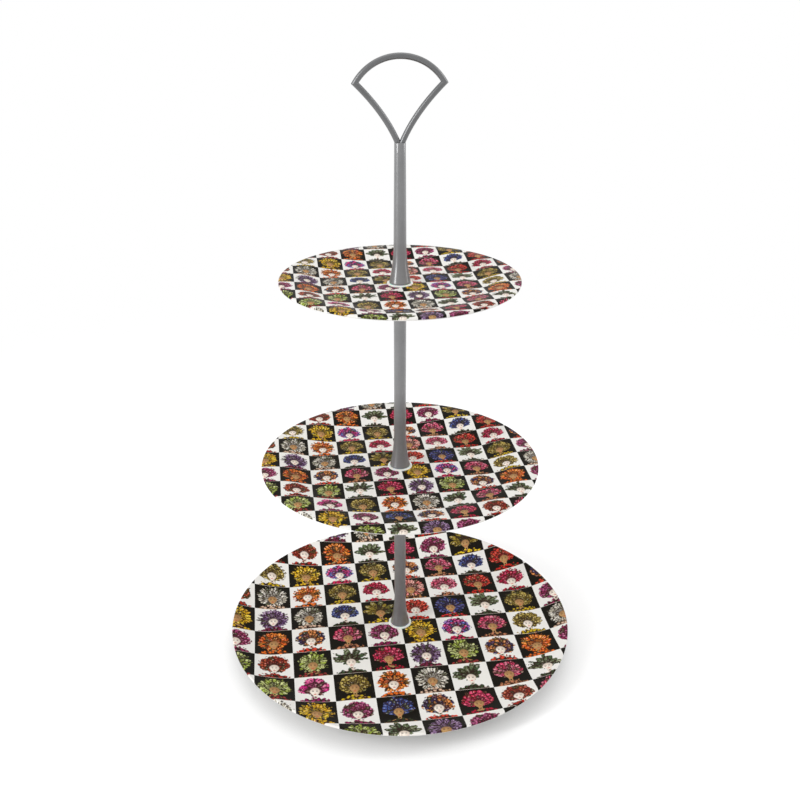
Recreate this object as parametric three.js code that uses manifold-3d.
// Three-tier cake stand: three round porcelain plates on columns that screw into each other, under a
// fan-shaped carrying handle. Millimetres, +Z up, origin on the table at the axis of the columns.
// The handle lies in the XZ plane.
import * as THREE from 'three';
import { mergeVertices } from 'three/addons/utils/BufferGeometryUtils.js';
import Module from 'manifold-3d';

const wasm = await Module();
wasm.setup();

// ---------------------------------------------------------------- plates
// Each plate is flat in the middle, climbs over slopeWidth by dishDepth, and ends in a band of
// rimBand that climbs at rimSlope. The foot ring stands under it, footInset inside the flat's edge.
const PLATE_THICKNESS = 4.5;
const RIM_THICKNESS = 2.2;
const RIM_ROUNDING = 1;
const STUD_HOLE_CLEARANCE = 0.75;
const FOOT_RING_WIDTH = 3;
const FOOT_RING_FLARE = 1.5;

const PLATES = {
  bottom: {
    radius: 133.35, slopeWidth: 28, dishDepth: 6.6, rimBand: 3, rimSlope: 0.36,
    footInset: 17, footHeight: 6.5,
  },
  middle: {
    radius: 102.4, slopeWidth: 29, dishDepth: 5.2, rimBand: 10.5, rimSlope: 0.05,
    footInset: 6, footHeight: 5,
  },
  top: {
    radius: 83.1, slopeWidth: 23.5, dishDepth: 4.3, rimBand: 8.5, rimSlope: 0.05,
    footInset: 6, footHeight: 4.5,
  },
};

// ---------------------------------------------------------------- columns and their screws
const COLUMN_RADIUS = 4.4;
const COLUMN_WALL = 1;
const FLARE_RADIUS = 7.5;
const FLARE_HEIGHT = 27;
const FLARE_EDGE = 0.5;
const LOWER_COLUMN_LENGTH = 136.5;
const MIDDLE_COLUMN_LENGTH = 135.3;
const HANDLE_COLUMN_LENGTH = 94.5;
const HANDLE_COLUMN_TOP_RADIUS = 3.85;

const STUD_RADIUS = 2.5;
const THREAD_CLEARANCE = 0.08;
const THREAD_ENGAGEMENT = 8;
const STUD_SHANK_LENGTH = 14;
const INSERT_LENGTH = 16;
const PRESS_GAP = 0.05;
const PLUG_LENGTH = 6;

// ---------------------------------------------------------------- washers and nut
const SOFT_WASHER_MARGIN = 1.5;
const SOFT_WASHER_THICKNESS = 1;
const STEEL_WASHER_RADIUS = 7.5;
const STEEL_WASHER_THICKNESS = 0.8;
const WASHER_BORE_CLEARANCE = 0.25;
const NUT_ACROSS_FLATS = 8;
const NUT_HEIGHT = 2.8;
const STUD_PAST_NUT = 0.6;

// ---------------------------------------------------------------- handle
const WIRE_RADIUS = 2;
const HANDLE_HEIGHT = 55.2;
const HANDLE_CORNER_X = 28.7;
const HANDLE_CORNER_HEIGHT = 37.2;
const LEG_START_ANGLE = 23.5;
const LEG_END_ANGLE = 46;
const LEG_EDGE_MARGIN = 0.15;
const BRAZE_GAP = 0.15;

// ---------------------------------------------------------------- mesh fineness
const PLATE_SEGMENTS = 64;
const TURNED_SEGMENTS = 32;
const SLOPE_STEPS = 4;
const FLARE_STEPS = 6;
const WIRE_SIDES = 12;
const LEG_STEPS = 10;
const ARCH_STEPS = 18;
const BAR_OVERRUN = 0.12;
const CUTTER_SIZE = 40;

// ---------------------------------------------------------------- levels, from the table up
const bottomPlateZ = PLATES.bottom.footHeight;
const lowerColumnZ = bottomPlateZ + PLATE_THICKNESS + SOFT_WASHER_THICKNESS;
const middlePlateZ = lowerColumnZ + LOWER_COLUMN_LENGTH + SOFT_WASHER_THICKNESS;
const middleColumnZ = middlePlateZ + PLATE_THICKNESS + SOFT_WASHER_THICKNESS;
const topPlateZ = middleColumnZ + MIDDLE_COLUMN_LENGTH + SOFT_WASHER_THICKNESS;
const handleColumnZ = topPlateZ + PLATE_THICKNESS + SOFT_WASHER_THICKNESS;
const handleZ = handleColumnZ + HANDLE_COLUMN_LENGTH;
const columnBore = COLUMN_RADIUS - COLUMN_WALL;
const handleTopBore = HANDLE_COLUMN_TOP_RADIUS - COLUMN_WALL;
const platePackHeight = PLATE_THICKNESS + 2 * SOFT_WASHER_THICKNESS;

// ---------------------------------------------------------------- materials
const steel = () => new THREE.MeshStandardMaterial({ color: 0x9b9b98, roughness: 0.28, metalness: 1 });
const threadSteel = () => new THREE.MeshStandardMaterial({ color: 0x8f8f8c, roughness: 0.4, metalness: 1 });
const porcelain = () => new THREE.MeshStandardMaterial({ color: 0xf2f0ea, roughness: 0.12, metalness: 0 });
const softPlastic = () => new THREE.MeshStandardMaterial({ color: 0xe9e8e2, roughness: 0.5, metalness: 0 });

const stand = new THREE.Group();

function addPiece(name, geometry, material, z = 0) {
  const mesh = new THREE.Mesh(geometry, material);
  mesh.name = name;
  mesh.position.z = z;
  stand.add(mesh);
}

// A turned solid about Z from a closed loop of [radius, height] points.
function turned(loop, segments) {
  const points = loop.map(([radius, height]) => new THREE.Vector2(radius, height));
  points.push(points[0].clone());
  const geometry = new THREE.LatheGeometry(points, segments);
  geometry.rotateX(Math.PI / 2);
  return closed(geometry);
}

// Merges shared corners and drops triangles that have shrunk to a line.
function closed(geometry) {
  geometry.deleteAttribute('normal');
  geometry.deleteAttribute('uv');
  const merged = mergeVertices(geometry, 1e-5);
  const index = merged.index.array;
  const kept = [];
  for (let i = 0; i < index.length; i += 3) {
    const [a, b, c] = [index[i], index[i + 1], index[i + 2]];
    if (a !== b && b !== c && c !== a) kept.push(a, b, c);
  }
  merged.setIndex(kept);
  return merged;
}

// Points of a smooth rise from [r0, 0] to [r1, rise] that leaves level and arrives at endSlope.
function slope(r0, r1, rise, endSlope, steps) {
  const width = r1 - r0;
  return Array.from({ length: steps + 1 }, (_, i) => {
    const t = i / steps;
    const height = rise * t * t * (3 - 2 * t) + endSlope * width * t * t * (t - 1);
    return [r0 + width * t, height];
  });
}

// ---------------------------------------------------------------- plate
// Height 0 is the underside of the middle; the foot ring hangs below it.
function plateGeometry({ radius, slopeWidth, rimBand, dishDepth, rimSlope, footInset, footHeight }) {
  const shoulder = radius - rimBand;
  const flat = shoulder - slopeWidth;
  const ringRadius = flat - footInset;
  const hole = STUD_RADIUS + STUD_HOLE_CLEARANCE;
  const edgeTop = PLATE_THICKNESS + dishDepth + rimSlope * (rimBand - RIM_ROUNDING);
  const face = slope(flat, shoulder, dishDepth, rimSlope, SLOPE_STEPS)
    .map(([r, height]) => [r, height + PLATE_THICKNESS]);
  const underside = slope(flat, shoulder, dishDepth + PLATE_THICKNESS - RIM_THICKNESS, rimSlope, SLOPE_STEPS);
  const ringOuter = ringRadius + FOOT_RING_WIDTH / 2;
  const ringInner = ringRadius - FOOT_RING_WIDTH / 2;
  return turned([
    [hole, PLATE_THICKNESS],
    [hole, 0],
    [ringInner - FOOT_RING_FLARE, 0],
    [ringInner, -footHeight],
    [ringOuter, -footHeight],
    [ringOuter + FOOT_RING_FLARE, 0],
    ...underside,
    [radius - RIM_ROUNDING, edgeTop - RIM_THICKNESS],
    [radius, edgeTop - RIM_THICKNESS + RIM_ROUNDING],
    [radius, edgeTop - RIM_ROUNDING * 0.6],
    [radius - RIM_ROUNDING, edgeTop],
    ...face.reverse(),
  ], PLATE_SEGMENTS);
}

// ---------------------------------------------------------------- column
// A drawn tube with a trumpet foot, open at both ends. Height 0 is the foot's lower face.
function columnGeometry(length, topRadius, topBore) {
  const flare = Array.from({ length: FLARE_STEPS + 1 }, (_, i) => {
    const t = i / FLARE_STEPS;
    return [
      COLUMN_RADIUS + (FLARE_RADIUS - COLUMN_RADIUS) * (1 - t) ** 2,
      FLARE_EDGE + (FLARE_HEIGHT - FLARE_EDGE) * t,
    ];
  });
  return turned([
    [columnBore, 0],
    [FLARE_RADIUS, 0],
    ...flare,
    [topRadius, length],
    [topBore, length],
    [columnBore, FLARE_HEIGHT],
  ], TURNED_SEGMENTS);
}

// ---------------------------------------------------------------- threaded pieces
// A stud pressed into a column's foot by its thick shank; the thread hangs below height 0.
function studGeometry(threadLength) {
  const shank = columnBore - PRESS_GAP;
  return turned([
    [0, -threadLength],
    [STUD_RADIUS - 0.5, -threadLength],
    [STUD_RADIUS, 0.5 - threadLength],
    [STUD_RADIUS, 0],
    [shank, 0],
    [shank, STUD_SHANK_LENGTH],
    [0, STUD_SHANK_LENGTH],
  ], TURNED_SEGMENTS);
}

// A tapped bush, flush with the top of the column at height 0.
function insertGeometry() {
  const outer = columnBore - PRESS_GAP;
  const bore = STUD_RADIUS + THREAD_CLEARANCE;
  return turned([
    [bore, 0],
    [bore, -INSERT_LENGTH],
    [outer, -INSERT_LENGTH],
    [outer, 0],
  ], TURNED_SEGMENTS);
}

function washerGeometry(radius, thickness) {
  const bore = STUD_RADIUS + WASHER_BORE_CLEARANCE;
  return turned([[bore, 0], [radius, 0], [radius, thickness], [bore, thickness]], TURNED_SEGMENTS);
}

// ---------------------------------------------------------------- solids for cutting
function solid(geometry) {
  return new wasm.Manifold(new wasm.Mesh({
    numProp: 3,
    vertProperties: new Float32Array(geometry.attributes.position.array),
    triVerts: new Uint32Array(geometry.index.array),
  }));
}

function fromSolid(manifold) {
  const mesh = manifold.getMesh();
  const geometry = new THREE.BufferGeometry();
  geometry.setAttribute('position', new THREE.BufferAttribute(mesh.vertProperties, 3));
  geometry.setIndex(new THREE.BufferAttribute(mesh.triVerts, 1));
  return geometry;
}

// A thin hexagonal nut, its lower face at height 0.
function nutGeometry() {
  const bore = turned([
    [0, -1],
    [STUD_RADIUS + THREAD_CLEARANCE, -1],
    [STUD_RADIUS + THREAD_CLEARANCE, NUT_HEIGHT + 1],
    [0, NUT_HEIGHT + 1],
  ], TURNED_SEGMENTS);
  const cornerRadius = NUT_ACROSS_FLATS / Math.sqrt(3);
  const hexagon = turned([[0, 0], [cornerRadius, 0], [cornerRadius, NUT_HEIGHT], [0, NUT_HEIGHT]], 6);
  return fromSolid(solid(hexagon).subtract(solid(bore)));
}

// ---------------------------------------------------------------- handle bars
// Height 0 is the top of the handle column. The right leg curves out from the column to the corner,
// and the arch is an arc of a circle over both corners. Each bar is drawn a little too long and then
// cut on the mitre.
const direction = (degrees) => {
  const angle = THREE.MathUtils.degToRad(degrees);
  return new THREE.Vector2(Math.sin(angle), Math.cos(angle));
};
const corner = new THREE.Vector2(HANDLE_CORNER_X, HANDLE_CORNER_HEIGHT);
const legOut = direction(LEG_START_ANGLE);
const legIn = direction(LEG_END_ANGLE);
const legStart = new THREE.Vector2(HANDLE_COLUMN_TOP_RADIUS - LEG_EDGE_MARGIN - WIRE_RADIUS / legOut.y, 0);
const legReach = corner.clone().sub(legStart).cross(legIn) / legOut.cross(legIn);
const legBend = legStart.clone().addScaledVector(legOut, legReach);

const archTop = HANDLE_HEIGHT - WIRE_RADIUS;
const archRise = archTop - HANDLE_CORNER_HEIGHT;
const archRadius = (HANDLE_CORNER_X ** 2 + archRise ** 2) / (2 * archRise);
const archHalfAngle = Math.asin(HANDLE_CORNER_X / archRadius);
const archStart = new THREE.Vector2(-Math.cos(archHalfAngle), Math.sin(archHalfAngle));
const mitre = legIn.clone().add(archStart).normalize();

class LegCurve extends THREE.Curve {
  getPoint(t, target = new THREE.Vector3()) {
    const u = THREE.MathUtils.lerp(-BAR_OVERRUN, 1 + BAR_OVERRUN, t);
    const point = legStart.clone().multiplyScalar((1 - u) ** 2);
    point.addScaledVector(legBend, 2 * u * (1 - u)).addScaledVector(corner, u ** 2);
    return target.set(point.x, 0, point.y);
  }
}

class ArchCurve extends THREE.Curve {
  getPoint(t, target = new THREE.Vector3()) {
    const angle = (2 * t - 1) * archHalfAngle * (1 + BAR_OVERRUN);
    return target.set(archRadius * Math.sin(angle), 0, archTop - archRadius * (1 - Math.cos(angle)));
  }
}

function bar(extrudePath, steps) {
  const section = new THREE.Shape().absarc(0, 0, WIRE_RADIUS, 0, Math.PI * 2);
  const options = { extrudePath, steps, curveSegments: WIRE_SIDES / 2, bevelEnabled: false };
  return solid(closed(new THREE.ExtrudeGeometry(section, options)));
}

// A cutter for a bar's end: it starts gap short of the point [x, z] and reaches out along a direction.
function cutter([x, z], [alongX, alongZ], gap) {
  const block = new THREE.BoxGeometry(CUTTER_SIZE, CUTTER_SIZE, CUTTER_SIZE);
  block.translate(0, 0, CUTTER_SIZE / 2 - gap);
  block.rotateY(Math.atan2(alongX, alongZ));
  block.translate(x, 0, z);
  return solid(closed(block));
}

function legGeometry() {
  return fromSolid(bar(new LegCurve(), LEG_STEPS)
    .subtract(cutter([0, 0], [0, -1], 0))
    .subtract(cutter([0, 0], [-1, 0], BRAZE_GAP / 2))
    .subtract(cutter([corner.x, corner.y], [mitre.x, mitre.y], BRAZE_GAP / 2)));
}

function archGeometry() {
  return fromSolid(bar(new ArchCurve(), ARCH_STEPS)
    .subtract(cutter([corner.x, corner.y], [-mitre.x, -mitre.y], BRAZE_GAP / 2))
    .subtract(cutter([-corner.x, corner.y], [mitre.x, -mitre.y], BRAZE_GAP / 2)));
}

// ---------------------------------------------------------------- plates with their washers
const plateLevels = { bottom: bottomPlateZ, middle: middlePlateZ, top: topPlateZ };
for (const [tier, z] of Object.entries(plateLevels)) {
  const washer = () => washerGeometry(FLARE_RADIUS + SOFT_WASHER_MARGIN, SOFT_WASHER_THICKNESS);
  addPiece(`${tier}_plate`, plateGeometry(PLATES[tier]), porcelain(), z);
  addPiece(`${tier}_plate_lower_washer`, washer(), softPlastic(), z - SOFT_WASHER_THICKNESS);
  addPiece(`${tier}_plate_upper_washer`, washer(), softPlastic(), z + PLATE_THICKNESS);
}

// ---------------------------------------------------------------- base fastening
const steelWasherZ = bottomPlateZ - SOFT_WASHER_THICKNESS - STEEL_WASHER_THICKNESS;
const baseStackHeight = lowerColumnZ - steelWasherZ + NUT_HEIGHT;
const steelWasher = washerGeometry(STEEL_WASHER_RADIUS, STEEL_WASHER_THICKNESS);
addPiece('base_steel_washer', steelWasher, steel(), steelWasherZ);
addPiece('base_nut', nutGeometry(), threadSteel(), steelWasherZ - NUT_HEIGHT);

// ---------------------------------------------------------------- columns with their studs and inserts
const lowerColumn = columnGeometry(LOWER_COLUMN_LENGTH, COLUMN_RADIUS, columnBore);
const middleColumn = columnGeometry(MIDDLE_COLUMN_LENGTH, COLUMN_RADIUS, columnBore);
const handleColumn = columnGeometry(HANDLE_COLUMN_LENGTH, HANDLE_COLUMN_TOP_RADIUS, handleTopBore);
addPiece('lower_column', lowerColumn, steel(), lowerColumnZ);
addPiece('middle_column', middleColumn, steel(), middleColumnZ);
addPiece('handle_column', handleColumn, steel(), handleColumnZ);

addPiece('lower_stud', studGeometry(baseStackHeight + STUD_PAST_NUT), threadSteel(), lowerColumnZ);
addPiece('middle_stud', studGeometry(platePackHeight + THREAD_ENGAGEMENT), threadSteel(), middleColumnZ);
addPiece('handle_stud', studGeometry(platePackHeight + THREAD_ENGAGEMENT), threadSteel(), handleColumnZ);
addPiece('lower_insert', insertGeometry(), threadSteel(), lowerColumnZ + LOWER_COLUMN_LENGTH);
addPiece('middle_insert', insertGeometry(), threadSteel(), middleColumnZ + MIDDLE_COLUMN_LENGTH);

// ---------------------------------------------------------------- handle
const plugRadius = handleTopBore - PRESS_GAP;
const plugOutline = [[0, -PLUG_LENGTH], [plugRadius, -PLUG_LENGTH], [plugRadius, 0], [0, 0]];
addPiece('handle_plug', turned(plugOutline, TURNED_SEGMENTS), steel(), handleZ);
addPiece('handle_right_leg', legGeometry(), steel(), handleZ);
addPiece('handle_left_leg', legGeometry().rotateZ(Math.PI), steel(), handleZ);
addPiece('handle_arch', archGeometry(), steel(), handleZ);

export default stand;
